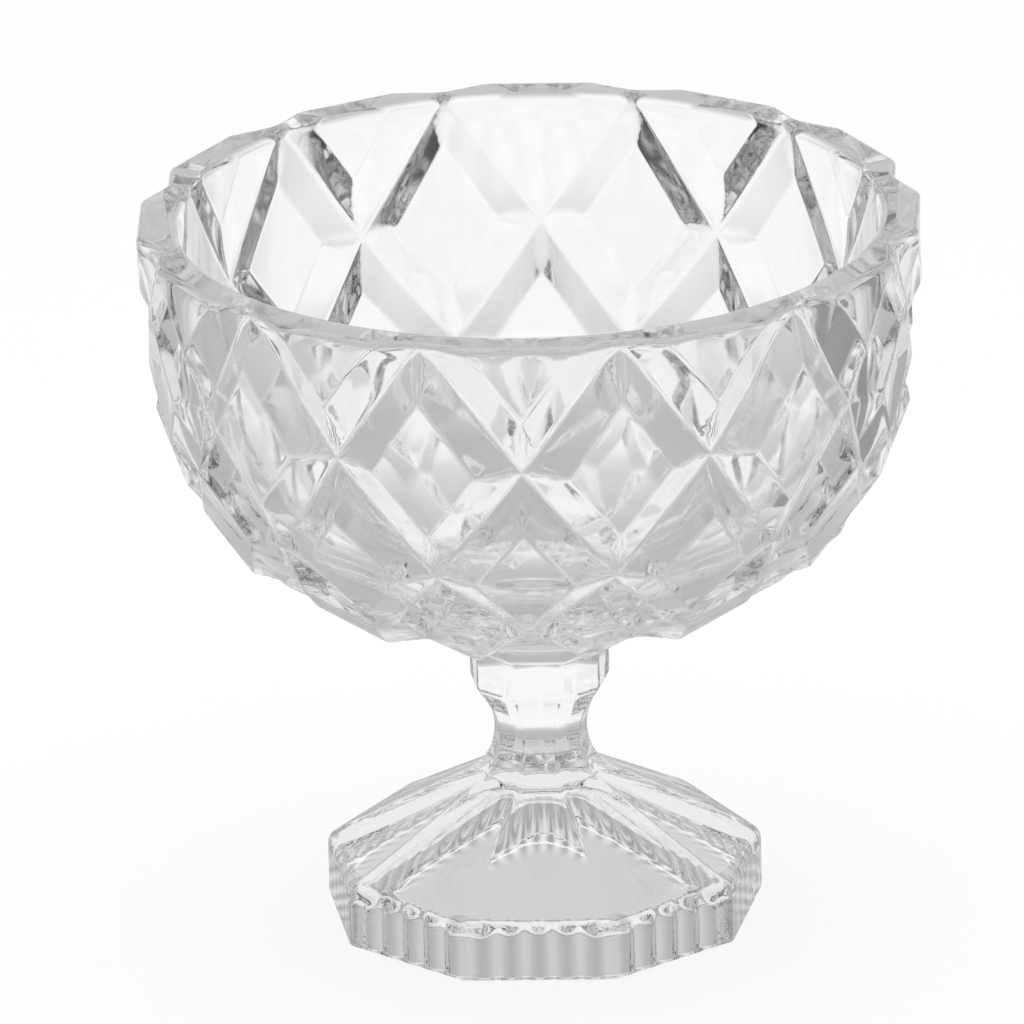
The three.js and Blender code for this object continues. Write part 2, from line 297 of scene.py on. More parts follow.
class Graph:
    """A node tree that is being written"""

    NOISE_ROUGHNESS = 0.45

    def __init__(self, tree):
        self.tree = tree
        self.tree.nodes.clear()

    def node(self, kind, settings=None, sockets=None, output=0):
        """Adds a node: its settings first, then the values or links of its sockets"""
        made = self.tree.nodes.new(kind)
        for name, value in (settings or {}).items():
            setattr(made, name, value)
        for name, value in (sockets or {}).items():
            if isinstance(value, Shade):
                self.tree.links.new(value.socket, made.inputs[name])
            else:
                made.inputs[name].default_value = value
        return Shade(self, made.outputs[output] if len(made.outputs) else None)

    def math(self, operation, first, second):
        return self.node("ShaderNodeMath", {"operation": operation}, {0: first, 1: second})

    def place(self):
        """Place on the object, in metres"""
        return self.node("ShaderNodeTexCoord", None, None, "Object")

    def round_axis(self, place):
        """The three coordinates of a place and its distance from the upright axis"""
        split = self.node("ShaderNodeSeparateXYZ", None, {"Vector": place})
        level = self.node("ShaderNodeVectorMath", {"operation": "MULTIPLY"}, {0: place, 1: (1.0, 1.0, 0.0)})
        away = self.node("ShaderNodeVectorMath", {"operation": "LENGTH"}, {0: level}, "Value")
        return (*(split.output(axis) for axis in "XYZ"), away)

    def noise(self, place, feature_size, detail):
        """Noise with features of a given size in metres"""
        return self.node("ShaderNodeTexNoise", None, {
            "Vector": place, "Scale": 1 / feature_size, "Detail": detail, "Roughness": self.NOISE_ROUGHNESS})

    def rise(self, value, low, high):
        """Smooth step from 0 to 1 while a value goes from low to high"""
        return self.node(
            "ShaderNodeMapRange", {"interpolation_type": "SMOOTHSTEP"},
            {"Value": value, "From Min": low, "From Max": high})

    def band(self, value, start, full, fade, end):
        """Smooth step up while a value goes from start to full, and down again from fade to end"""
        return self.rise(value, start, full) * (1 - self.rise(value, fade, end))

    def blend(self, factor, first, second):
        """Colour between two colours"""
        return self.node(
            "ShaderNodeMix", {"data_type": "RGBA"}, {"Factor": factor, "A": first, "B": second}, "Result")

    def mix(self, factor, first, second):
        """Shader between two shaders"""
        return self.node("ShaderNodeMixShader", None, {0: factor, 1: first, 2: second})

    def dents(self, height, strength, distance):
        """Normal of a surface with small heights"""
        return self.node(
            "ShaderNodeBump", None, {"Height": height, "Strength": strength, "Distance": distance})

    def seen(self):
        """1 for rays that show a thing, straight or by way of glass, and 0 for rays that light it"""
        path = self.node("ShaderNodeLightPath")
        rays = [path.output(f"Is {kind} Ray") for kind in ("Camera", "Glossy", "Transmission")]
        return (rays[0] + rays[1] + rays[2]).math("MINIMUM", 1.0)

    def reflected(self):
        """1 for rays that were reflected on their way, and 0 for all others"""
        return self.node("ShaderNodeLightPath", None, None, "Glossy Depth").math("MINIMUM", 1.0)

    def surface(self, shader, output="ShaderNodeOutputMaterial"):
        """Ends the graph with its surface"""
        self.node(output, None, {"Surface": shader})


def rgba(colour):
    return (*colour, 1.0)


def new_material(name):
    material = bpy.data.materials.new(name)
    material.use_nodes = True
    return material, Graph(material.node_tree)


# Glass: where the painted shade on the fluted wall lies, as shares of the crests, the flat sides and the
# skirt
WALL_START = 0.99
WALL_END = 0.994
WALL_TOP = 0.8


def painted_flute_shade_mask(graph, place, foot):
    """Where shade is painted into the glass: 1 in the middle of each flute on the hollow's wall, and 0 on the
    crests and off the wall
    """
    x, y, z, away = graph.round_axis(place)
    flat = FOOT_HIGH.y * math.cos(math.pi / foot.sides)
    crest = flat - foot.skirt_wall - foot.flute_depth
    wall = (away > WALL_START * crest) * (away < WALL_END * flat) * (z < WALL_TOP * foot.skirt_height)
    turned = x.math("ARCTAN2", -y) * (foot.sides * foot.flutes)
    return wall * turned.wave()


def clear_glass(name, finish, polish, ripple_size, foot=None):
    """Fire-polished clear glass with slow ripples and faint smears, and painted shade in the middle of a
    foot's flutes
    """
    slow_share = 0.85
    fine_share = 0.15
    fine_size = ripple_size / 5
    smear_power = 3
    material, graph = new_material(name)
    place = graph.place()
    slow = graph.noise(place, ripple_size, 1.0)
    fine = graph.noise(place, fine_size, 2.0)
    smears = graph.noise(place, finish.smear_size, 3.0)
    colour = graph.blend(smears, rgba(finish.glass_tint), rgba(finish.glass_shade))
    # Painted shade: the glass goes grey in the middle of each flute on the foot's hollow wall
    if foot:
        colour = graph.blend(painted_flute_shade_mask(graph, place, foot), colour, rgba(finish.painted_flute_shade))
    graph.surface(graph.node("ShaderNodeBsdfPrincipled", None, {
        "Base Color": colour,
        "Roughness": polish + smears ** smear_power * finish.smear,
        "Normal": graph.dents(slow * slow_share + fine * fine_share, 1.0, finish.ripple_depth),
        "IOR": finish.glass_ior,
        "Transmission Weight": 1.0,
    }))
    return material


def cured_bond(finish):
    """Clear cured adhesive with tiny trapped bubbles"""
    material, graph = new_material("cured_bond")
    place = graph.place()
    bubbles = graph.node(
        "ShaderNodeTexVoronoi", {"feature": "F1"}, {"Vector": place, "Scale": 1 / finish.bubble_size})
    haze = graph.noise(place, finish.haze_size, 2.0)
    graph.surface(graph.node("ShaderNodeBsdfPrincipled", None, {
        "Base Color": graph.blend(haze, rgba(finish.bond_tint), WHITE),
        "Roughness": finish.bond_polish + haze * finish.bond_haze,
        "Normal": graph.dents(bubbles, finish.bubble_strength, finish.bubble_depth),
        "IOR": finish.bond_ior,
        "Transmission Weight": 1.0,
    }))
    return material


# Paper: how dark its grain gets, as a share of its colour
FLOOR_DARKEST = 0.97
CARD_DARKEST = 0.7
PAPER_ROUGHNESS = 0.9

# Floor at the foot: where the painted streaks and painted light line come and go, as shares of the streak
# radius
STREAK_BAND = (0.74, 1.05, 1.0, 1.9)
LINE_BAND = (0.94, 0.955, 0.97, 0.985)
FAR_SIDE = (-0.5, 0.2)

# Floor beside the white strip: where its painted shade is fully grey and white again, as shares of width and
# radius
SIDE_EDGE = 2.4
SIDE_END = 1.7


def matt_paper(graph, grain, colour, darkest):
    """Matt surface whose grain runs from its colour to a darker one"""
    dark = [darkest * channel for channel in colour]
    return graph.node("ShaderNodeBsdfPrincipled", None, {
        "Base Color": graph.blend(grain, rgba(colour), rgba(dark)),
        "Roughness": PAPER_ROUGHNESS,
        "Specular IOR Level": 0.0,
    })


def floor_at_foot(graph, stage, x, y, away, grain):
    """Floor near the foot as the glass shows it: painted streaks of light and shade and a painted bright line
    of light at the far side's fluted wall, over painted shade
    """
    reach = stage.streak_radius

    def places(parts):
        return [reach * part for part in parts]

    # Painted light and shade: streaks that stand in for the light the flutes throw on the floor
    painted_streak_mask = graph.rise(y, *places(FAR_SIDE)) * graph.band(away, *places(STREAK_BAND))
    angle = x.math("ARCTAN2", y) * stage.streaks + grain
    streaks = graph.blend(angle.wave(), rgba(stage.painted_shade_streak_tint), rgba(stage.painted_light_streak_tint))
    # Painted shade on the floor inside the foot and round it
    plain = graph.blend(away > reach, rgba(stage.hollow_painted_shade), rgba(stage.shade_tint))
    # Painted light: a bright line on the floor along the far side's fluted wall
    line = (y > 0.0) * graph.band(away, *places(LINE_BAND))
    return graph.blend(line, graph.blend(painted_streak_mask, plain, streaks), WHITE)


def floor_in_glass(graph, stage, place, grain):
    """Floor as the glass shows it: painted shade round the bowl, painted shade beside a white strip, then
    white
    """
    x, y, _, away = graph.round_axis(place)
    clearing = graph.rise(away, stage.shade_radius, stage.white_radius)
    # Painted shade beside the white strip behind the bowl
    sideways = graph.rise(abs(x), stage.white_width, SIDE_EDGE * stage.white_width)
    close = 1 - graph.rise(away, stage.side_radius, SIDE_END * stage.side_radius)
    beside = 1 - sideways * close * (1 - stage.side_white)
    return graph.blend(clearing * beside, floor_at_foot(graph, stage, x, y, away, grain), WHITE)


def studio_paper(stage):
    """Matt paper that is white to the camera, keeps a soft shadow and carries painted shade and light in the
    glass
    """
    material, graph = new_material("studio_paper")
    place = graph.place()
    grain = graph.noise(place, stage.floor_grain, 3.0)
    bare = graph.node("ShaderNodeLightPath", None, None, "Is Camera Ray")
    colour = graph.blend(bare, floor_in_glass(graph, stage, place, grain), WHITE)
    glow = graph.node("ShaderNodeEmission", None, {"Color": colour, "Strength": 1.0})
    glowing = graph.seen() * (1 - bare * (1 - stage.floor_white))
    graph.surface(graph.mix(glowing, matt_paper(graph, grain, stage.floor_tint, FLOOR_DARKEST), glow))
    return material


def card(name, colour, grain_size):
    """Matt card that shows in reflections and lets all else through"""
    material, graph = new_material(name)
    grain = graph.noise(graph.place(), grain_size, 3.0)
    clear = graph.node("ShaderNodeBsdfTransparent")
    graph.surface(graph.mix(graph.reflected(), clear, matt_paper(graph, grain, colour, CARD_DARKEST)))
    return material


# Meshes

def new_piece(name, vertices, faces, material):
    mesh = bpy.data.meshes.new(name)
    mesh.from_pydata(np.asarray(vertices).tolist(), [], faces)
    mesh.shade_smooth()
    mesh.materials.append(material)
    piece = bpy.data.objects.new(name, mesh)
    bpy.context.scene.collection.objects.link(piece)
    return piece


def dress(name, shell, material, node):
    """Makes a piece that stands for a node of the frame, hangs it under the root body and hides the node's
    own part
    """
    piece = new_piece(name, shell.vertices, shell.faces, material)
    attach(piece, "root")
    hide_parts(node)


def circle(steps):
    """Points round a circle of radius 1, from the front towards +X"""
    angles = np.linspace(0, 2 * math.pi, steps, endpoint=False)
    return np.column_stack([np.sin(angles), -np.cos(angles)])


def led(start, control, end, x):
    """Place at share x of a smooth bend between two ends, led by one control place"""
    return start * (1 - x) ** 2 + 2 * control * x * (1 - x) + end * x ** 2


def bend(start, control, end, steps):
    """Points along a smooth bend between two ends, led by one control point"""
    start, control, end = (np.asarray(point, float) for point in (start, control, end))
    return led(start, control, end, np.linspace(0, 1, steps + 1)[:, None])


def rounded(points, radii, steps):
    """Outline through (radius, height) points with its inner corners rounded off"""
    points = np.asarray(points, float)
    parts = [points[:1]]
    for before, corner, after, reach in zip(points, points[1:], points[2:], radii):
        back = (before - corner) / np.linalg.norm(before - corner)
        on = (after - corner) / np.linalg.norm(after - corner)
        parts.append(bend(corner + back * reach, corner, corner + on * reach, steps))
    return np.vstack([*parts, points[-1:]])


def smooth_through(points, steps):
    """Centripetal curve through (radius, height) points, with the same steps between each two"""
    points = np.asarray(points, float)
    ends = np.vstack([2 * points[0] - points[1], points, 2 * points[-1] - points[-2]])
    curve = []
    for i in range(len(points) - 1):
        p = ends[i:i + 4]
        t = np.concatenate([[0], np.cumsum(np.sqrt(np.linalg.norm(np.diff(p, axis=0), axis=1)))])
        for x in np.linspace(t[1], t[2], steps, endpoint=False):
            a = [p[j] + (p[j + 1] - p[j]) * (x - t[j]) / (t[j + 1] - t[j]) for j in range(3)]
            b = [a[j] + (a[j + 1] - a[j]) * (x - t[j]) / (t[j + 2] - t[j]) for j in range(2)]
            curve.append(b[0] + (b[1] - b[0]) * (x - t[1]) / (t[2] - t[1]))
    return np.array(curve)


class Shell:
    """A closed surface that is gathered ring by ring"""

    def __init__(self):
        self.vertices = np.zeros((0, 3))
        self.faces = []

    def ring(self, points):
        """Adds a ring of vertices and gives their numbers"""
        first = len(self.vertices)
        self.vertices = np.vstack([self.vertices, points])
        return list(range(first, first + len(points)))

    def join(self, one, next_one):
        """Joins two rings; the outside is to the right when going round and looking towards the next"""
        n = len(one)
        self.faces += [(one[i], one[(i + 1) % n], next_one[(i + 1) % n], next_one[i]) for i in range(n)]

    def extend(self, ring, rings):
        """Joins more rings of points on to a ring and gives the last one"""
        for points in rings:
            following = self.ring(points)
            self.join(ring, following)
            ring = following
        return ring

    def open_at(self, z, points):
        """Adds a first ring, filled to the axis at a height, and gives its numbers"""
        ring = self.ring(points)
        tip = self.ring([(0.0, 0.0, z)])[0]
        n = len(ring)
        self.faces += [(tip, ring[(i + 1) % n], ring[i]) for i in range(n)]
        return ring

    def close_at(self, z, ring):
        """Fills the last ring to the axis at a height"""
        tip = self.ring([(0.0, 0.0, z)])[0]
        n = len(ring)
        self.faces += [(ring[i], ring[(i + 1) % n], tip) for i in range(n)]

    def close_over(self, rings):
        """Closes a surface over rings of points whose first and last are level"""
        first = self.open_at(rings[0][0, 2], rings[0])
        self.close_at(rings[-1][0, 2], self.extend(first, rings[1:]))


# The bowl

class LozengeGrid:
    """Fine grid over a lozenge, closer set where the panel's edge and the groove are rounded"""

    # Grid lines on the panel as shares of it, and at its edge and the groove in half widths of their rounding
    PANEL_LINES = np.array([0.3, 0.7])
    EDGE_LINES = np.array([-2.0, -1.0, -0.5, 0.0, 0.5, 1.0, 2.0])
    GROOVE_LINES = np.array([2.0, 1.0, 0.6, 0.3, 0.0])
    SLOPE_LINES = 2
    LEAST_WIDTH = 1e-9

    def __init__(self, panel_share, softness):
        self.share = panel_share
        self.soft = softness
        edge = panel_share + softness * self.EDGE_LINES
        groove = 1 - softness * self.GROOVE_LINES
        slope = np.linspace(edge[-1], groove[0], self.SLOPE_LINES + 2)[1:-1]
        half = np.concatenate([self.PANEL_LINES * panel_share, edge, slope, groove])
        self.lines = np.concatenate([-half[::-1], [0.0], half])
        self.count = len(self.lines)

    def fall(self, reach):
        """How far the surface has fallen from the panel (0) to the groove (1), both ends rounded"""
        run, soft = 1 - self.share, self.soft
        straight = (reach - self.share) / run
        top = (reach - self.share + soft) ** 2 / (4 * soft * run)
        bottom = 1 - soft / (2 * run) - (1 - reach) ** 2 / (2 * soft * run)
        fallen = np.where(reach < self.share + soft, top, straight)
        fallen = np.where(reach < self.share - soft, 0.0, fallen)
        return np.where(reach > 1 - soft, bottom, fallen)

    def surface(self, left, bottom, right, top, height):
        """Places on the lozenge with its panel sunk, for matching edges, and as pressed"""
        s, t = np.meshgrid(self.lines, self.lines, indexing="ij")
        far = np.maximum(np.abs(s), np.abs(t))
        near = np.minimum(np.abs(s), np.abs(t))
        hip_width = 2 * self.soft * np.minimum(1, (1 - far) / (4 * self.soft)) + self.LEAST_WIDTH
        hip = np.maximum(hip_width - (far - near), 0) / hip_width
        reach = far + hip ** 2 * hip_width / 4
        safe = np.where(far > 0, far, 1)
        a = ((s / safe + 1) / 2)[..., None]
        b = ((t / safe + 1) / 2)[..., None]
        centre = (left + bottom + right + top) / 4
        normal = np.cross(right - left, top - bottom)
        normal /= np.linalg.norm(normal)
        arm = (1 - a) * (1 - b) * left + a * (1 - b) * bottom + a * b * right + (1 - a) * b * top - centre
        off_plane = arm @ normal
        sunk_fall = np.clip((far - self.share) / (1 - self.share), 0, 1)
        sunk = centre + far[..., None] * (arm - off_plane[..., None] * normal)
        sunk += (off_plane * sunk_fall)[..., None] * normal
        pressed = sunk + (height * (1 - self.fall(reach)))[..., None] * normal
        return sunk.reshape(-1, 3), pressed.reshape(-1, 3)


class BowlShell(Shell):
    """The bowl: lozenges that share their grooves, then rings over the rim, inside and under the boss"""

    # Places closer than this are one; the shift keeps mirrored places off the edge of a step
    WELD_STEP = 0.01 * MM
    WELD_SHIFT = 0.137
    # The lattice within this many lip radii of the rim is pressed down to make room for the lip
    RIM_ROOM = 3
    LIP_STEPS = 4
    INSIDE_STEPS = 12
    # Rings on the boss, and from the boss up to the hub, as shares
    BOSS_RINGS = (0.4, 0.96, 0.985)
    HUB_RINGS = (0.03, 0.08, 0.35, 0.65, 0.92)

    def __init__(self, sizes):
        super().__init__()
        self.sizes = sizes
        self.grid = LozengeGrid(sizes.panel_share, sizes.edge_softness)
        upper_z = BOWL_HIGH.z - sizes.rim_band
        middle_z = upper_z - sizes.upper_band
        lower_z = middle_z - sizes.lower_band
        self.rows = {
            "rim": (sizes.rim_radius, BOWL_HIGH.z, 0.5),
            "upper": (sizes.upper_radius, upper_z, 0.0),
            "middle": (sizes.middle_radius, middle_z, 0.5),
            "lower": (sizes.lower_radius, lower_z, 0.0),
            "hub": (sizes.hub_radius, lower_z - sizes.under_band, 0.5),
        }
        self.floor_z = BOWL_LOW.z + sizes.floor_thickness
        rim, hub = self.add_lattice()
        self.add_rim_and_inside(rim)
        self.add_boss(hub)

    def node(self, row, k):
        """Crossing of two grooves"""
        radius, z, shift = self.rows[row]
        angle = 2 * math.pi * (k + shift) / self.sizes.lozenges
        return np.array([radius * math.sin(angle), -radius * math.cos(angle), z])

    def triples(self):
        """Each three rows that follow each other, from the rim down"""
        names = list(self.rows)
        return list(zip(names, names[1:], names[2:]))

    def patches(self):
        """Corners, panel height and kept half of every lozenge"""
        sizes, node = self.sizes, self.node
        raises = (sizes.upper_raise, sizes.lower_raise, sizes.under_raise)
        for k in range(sizes.lozenges):
            left, bottom, right = node("rim", k - 1), node("upper", k), node("rim", k)
            yield (left, bottom, right, left + right - bottom), sizes.rim_raise, "under"
            for (above, row, below), height in zip(self.triples(), raises):
                first = k - 1 if self.rows[row][2] else k
                yield (node(row, first), node(below, k), node(row, first + 1), node(above, k)), height, None
            left, right, top = node("hub", k - 1), node("hub", k), node("lower", k)
            yield (left, left + right - top, right, top), 0.0, "over"

    def patch_faces(self, start, half):
        """Faces of one lozenge's grid, or of the half under or over the line from left to right"""
        n = self.grid.count
        for i in range(n - 1):
            for j in range(n - 1):
                a = start + i * n + j
                b, c, d = a + n, a + n + 1, a + 1
                if i == j and half == "under":
                    yield a, b, c
                elif i == j and half == "over":
                    yield a, c, d
                elif half is None or (half == "under") == (i > j):
                    yield a, b, c, d

    def add_lattice(self):
        """Adds the lozenges, joined along their grooves, and gives the rings at the rim and at the hub"""
        sunk, pressed, faces = [], [], []
        edges = {"under": [], "over": [], None: []}
        n = self.grid.count
        for corners, height, half in self.patches():
            start = len(sunk) * n * n
            low, high = self.grid.surface(*corners, height)
            sunk.append(low)
            pressed.append(high)
            faces += self.patch_faces(start, half)
            edges[half] += [start + i * n + i for i in range(n - 1)]
        used = np.unique(np.concatenate([np.array(face) for face in faces]))
        keys = np.round(np.concatenate(sunk)[used] / self.WELD_STEP + self.WELD_SHIFT).astype(np.int64)
        _, welded = np.unique(keys, axis=0, return_inverse=True)
        welded = welded.reshape(-1)
        place = dict(zip(used.tolist(), welded.tolist()))
        summed = np.zeros((welded.max() + 1, 3))
        np.add.at(summed, welded, np.concatenate(pressed)[used])
        self.vertices = summed / np.bincount(welded)[:, None]
        self.faces = [tuple(place[v] for v in face) for face in faces]
        return [place[v] for v in edges["under"]], [place[v] for v in edges["over"]]

    def inside_profile(self):
        """Smooth inside from the lip down to the middle of the floor, a wall's width behind the grooves"""
        sizes = self.sizes
        sag = math.cos(math.pi / sizes.lozenges / 2)
        wall = []
        for above, row, below in self.triples():
            rise = np.array(self.rows[above][:2]) - np.array(self.rows[below][:2])
            rise /= np.linalg.norm(rise)
            radius, z, _ = self.rows[row]
            wall.append((radius * sag - sizes.side_wall * rise[1], z + sizes.side_wall * rise[0]))
        lip = (sizes.rim_radius - sizes.rim_wall, BOWL_HIGH.z - sizes.lip_radius)
        to_floor = [lip, *wall, (0.0, self.floor_z)]
        across = [(-radius, z) for radius, z in wall[::-1]]
        curve = smooth_through(to_floor + across, self.INSIDE_STEPS)
        return curve[:(len(to_floor) - 1) * self.INSIDE_STEPS]

    def add_rim_and_inside(self, ring):
        """Rounds the rim and adds the inside down to the middle of the floor"""
        sizes = self.sizes
        lip = sizes.lip_radius
        top = BOWL_HIGH.z
        low = top - self.RIM_ROOM * lip
        near_rim = self.vertices[:, 2] > low
        self.vertices[near_rim, 2] -= (self.vertices[near_rim, 2] - low) / self.RIM_ROOM
        outer = np.linalg.norm(self.vertices[ring][:, :2], axis=1)
        way = self.vertices[ring][:, :2] / outer[:, None]

        def level(radii, z):
            return np.column_stack([way * np.broadcast_to(radii, outer.shape)[:, None], np.full(len(way), z)])

        turned = np.linspace(0, math.pi / 2, self.LIP_STEPS + 1)[1:]
        drop = lip * (1 - np.sin(turned))
        inset = lip * (1 - np.cos(turned))
        inner = sizes.rim_radius - sizes.rim_wall
        rings = [level(outer - i, top - d) for i, d in zip(inset, drop)]
        rings += [level(inner + i, top - d) for i, d in zip(inset[::-1], drop[::-1])]
        rings += [level(radius, z) for radius, z in self.inside_profile()]
        self.close_at(self.floor_z, self.extend(ring, rings))

    def add_boss(self, ring):
        """Adds the ground boss and the plain facets from it up to the hub"""
        hub = self.vertices[ring]
        scale = self.sizes.boss_radius / self.sizes.hub_radius
        boss = np.column_stack([hub[:, :2] * scale, np.full(len(hub), BOWL_LOW.z)])
        rings = [boss * (grown, grown, 1.0) for grown in self.BOSS_RINGS]
        rings += [boss + (hub - boss) * step for step in self.HUB_RINGS]
        first = self.open_at(BOWL_LOW.z, rings[0])
        self.join(self.extend(first, rings[1:]), ring)


class CENTREPIECE_OT_bowl(bpy.types.Operator):
    """Presses the bowl: lozenge lattice outside, smooth inside, rounded rim"""
    bl_idname = "centrepiece.bowl"
    bl_label = "Press the bowl"

    def execute(self, context):
        scene = context.scene
        shell = BowlShell(scene.centrepiece_bowl)
        finish = scene.centrepiece_finish
        glass = clear_glass("bowl_glass", finish, finish.bowl_polish, finish.bowl_ripple)
        dress("pressed_bowl", shell, glass, "bowl")
        return {"FINISHED"}


# The foot

class FootShell(Shell):
    """The foot: down the hollow's ceiling and fluted wall, over the table, up the outside to the collar"""

    STEPS_PER_FLUTE = 8
    CORNER_STEPS = 4
    CEILING_STEPS = 14
    FILLET_STEPS = 4
    WALL_STEPS = 7
    EDGE_STEPS = 6
    ROOF_STEPS = 7
    FLARE_STEPS = 14
    TAPER_STEPS = 12
    COLLAR_STEPS = 4
    # Rings as shares: on the hollow's top, where its ceiling starts, round the base and on the collar
    HOLLOW_TOP_RINGS = (0.5, 0.93)
    CEILING_START = 0.04
    BASE_EDGE_RINGS = (0.33, 0.67, 1.0)
    COLLAR_TOP_RING = 0.4
    # Corners of a slim section are rounded by no more than this share of it
    MOST_ROUNDING = 0.4

    def __init__(self, sizes):
        super().__init__()
        self.sizes = sizes
        self.half_turn = math.pi / sizes.sides
        self.base_radius = FOOT_HIGH.y
        self.per_side = sizes.flutes * self.STEPS_PER_FLUTE
        self.roof_top_z = sizes.skirt_height + sizes.roof_rise
        outside = [self.section(radius, z) for radius, z in self.outside_profile()]
        self.close_over(self.hollow_rings() + outside)

    def around(self, out, aside, z):
        """Repeats the points of one side, given outwards and sideways, on all sides"""
        points = []
        for side in range(self.sizes.sides):
            facing = 2 * self.half_turn * side
            points.append(np.column_stack([
                out * math.sin(facing) + aside * math.cos(facing),
                aside * math.sin(facing) - out * math.cos(facing),
                np.broadcast_to(z, out.shape)]))
        return np.vstack(points)

    def section(self, corner_radius, z):
        """Ring of a section with rounded corners, one flat side to the front"""
        flat = corner_radius * math.cos(self.half_turn)
        rounding = min(self.sizes.corner_radius, self.MOST_ROUNDING * flat)
        straight = (flat - rounding) * math.tan(self.half_turn)
        flat_steps = self.per_side - 2 * self.CORNER_STEPS
        lean = self.half_turn * (np.arange(self.CORNER_STEPS) + 0.5) / self.CORNER_STEPS
        lean = np.concatenate([-lean[::-1], np.zeros(flat_steps), lean])
        ends = np.ones(self.CORNER_STEPS)
        along = np.concatenate([-ends, np.linspace(-1, 1, flat_steps), ends])
        out = flat - rounding * (1 - np.cos(lean))
        return self.around(out, straight * along + rounding * np.sin(lean), z)

    def hollow_rings(self):
        """Rings from the top of the hollow out under the roof and down the fluted wall"""
        sizes = self.sizes
        cosine = math.cos(self.half_turn)
        flute, step = np.divmod(np.arange(self.per_side), self.STEPS_PER_FLUTE)
        part = step / self.STEPS_PER_FLUTE
        crest = self.base_radius * cosine - sizes.skirt_wall - sizes.flute_depth
        along = 2 * (flute + part) / sizes.flutes - 1
        out = crest + sizes.flute_depth * np.sin(math.pi * part) ** 2
        wall = self.around(out, crest * math.tan(self.half_turn) * along, 0.0)[:, :2]
        reach = np.linalg.norm(wall, axis=1)
        way = wall / reach[:, None]
        crown = sizes.roof_top_radius * cosine
        roof_steep = sizes.roof_rise / ((self.base_radius - sizes.roof_top_radius) * cosine)
        steep = roof_steep + (sizes.edge_glass - sizes.crown_glass) / (crest - crown)

        def ceiling(radius):
            return self.roof_top_z - sizes.crown_glass - steep * (radius - crown)

        def ring(radius, z):
            radius = np.broadcast_to(radius, reach.shape)
            return np.column_stack([way * radius[:, None], np.broadcast_to(z, reach.shape)])

        fillet, edge = sizes.hollow_fillet, sizes.base_edge
        start = reach - fillet / math.hypot(1, steep)
        corner_z = ceiling(reach)
        wall_z = corner_z - fillet
        top_z = ceiling(sizes.hollow_top)
        rings = [ring(inner * sizes.hollow_top, top_z) for inner in self.HOLLOW_TOP_RINGS]
        for x in np.linspace(self.CEILING_START, 1, self.CEILING_STEPS):
            radius = sizes.hollow_top + x * (start - sizes.hollow_top)
            rings.append(ring(radius, ceiling(radius)))
        for x in np.linspace(0, 1, self.FILLET_STEPS + 1)[1:]:
            rings.append(ring(led(start, reach, reach, x), led(ceiling(start), corner_z, wall_z, x)))
        for x in np.linspace(0, 1, self.WALL_STEPS + 1)[1:]:
            rings.append(ring(reach, wall_z * (1 - x) + edge * x))
        for x in self.BASE_EDGE_RINGS:
            rings.append(ring(led(reach, reach, reach + edge, x), led(edge, 0.0, 0.0, x)))
        return rings

    def outside_profile(self):
        """Corner radius and height of each section outside, from the table up"""
        sizes = self.sizes
        base, top_z = self.base_radius, FOOT_HIGH.z
        roof_top, waist, collar = sizes.roof_top_radius, sizes.waist_radius, sizes.collar_radius
        roof_z = self.roof_top_z
        waist_z = roof_z + sizes.flare_rise
        collar_z = waist_z + sizes.taper_rise
        slope = sizes.roof_rise / (base - roof_top)
        skirt = rounded(
            [(base - 2 * sizes.base_edge, 0), (base, 0), (base, sizes.skirt_height), (roof_top, roof_z)],
            [sizes.base_edge, sizes.roof_edge], self.EDGE_STEPS)
        roof = np.linspace(skirt[-2], skirt[-1], self.ROOF_STEPS + 1)[1:-1]
        flare_lead = (waist, roof_z + slope * (roof_top - waist))
        flare = bend((roof_top, roof_z), flare_lead, (waist, waist_z), self.FLARE_STEPS)
        taper_lead = (waist, waist_z + sizes.taper_rise * sizes.taper_lead)
        taper = bend((waist, waist_z), taper_lead, (collar, collar_z), self.TAPER_STEPS)
        top = rounded(
            [taper[-2], (collar, collar_z), (collar, top_z - sizes.collar_edge),
             (collar - sizes.collar_edge, top_z), (self.COLLAR_TOP_RING * collar, top_z)],
            [sizes.collar_rounding, sizes.collar_rounding, sizes.top_rounding], self.COLLAR_STEPS)
        return np.vstack([skirt[:-1], roof, flare, taper[1:-2], top])


class CENTREPIECE_OT_foot(bpy.types.Operator):
    """Presses the foot: fluted hollow, nine-sided skirt and roof, waisted stem and collar"""
    bl_idname = "centrepiece.foot"
    bl_label = "Press the foot"

    def execute(self, context):
        scene = context.scene
        sizes = scene.centrepiece_foot
        shell = FootShell(sizes)
        finish = scene.centrepiece_finish
        glass = clear_glass("foot_glass", finish, finish.foot_polish, finish.foot_ripple, sizes)
        dress("pressed_foot", shell, glass, "foot")
        return {"FINISHED"}


# The bond

class BondShell(Shell):
    """The bond: a thin film whose edge is drawn in"""

    EDGE_STEPS = 6
    # Rings on the film's two faces, as shares of its radius
    FACE_RINGS = (0.5, 0.985)

    def __init__(self, sizes):
        super().__init__()
        radius = BOND_HIGH.x
        low, high = BOND_LOW.z + sizes.clearance, BOND_HIGH.z - sizes.clearance
        profile = [(part * radius, low) for part in self.FACE_RINGS]
        for x in np.linspace(0, 1, self.EDGE_STEPS + 1):
            profile.append((radius - sizes.draw * math.sin(math.pi * x), low + (high - low) * x))
        profile += [(part * radius, high) for part in self.FACE_RINGS[::-1]]
        self.close_over([
            np.column_stack([circle(ROUND_STEPS) * out, np.full(ROUND_STEPS, z)]) for out, z in profile])


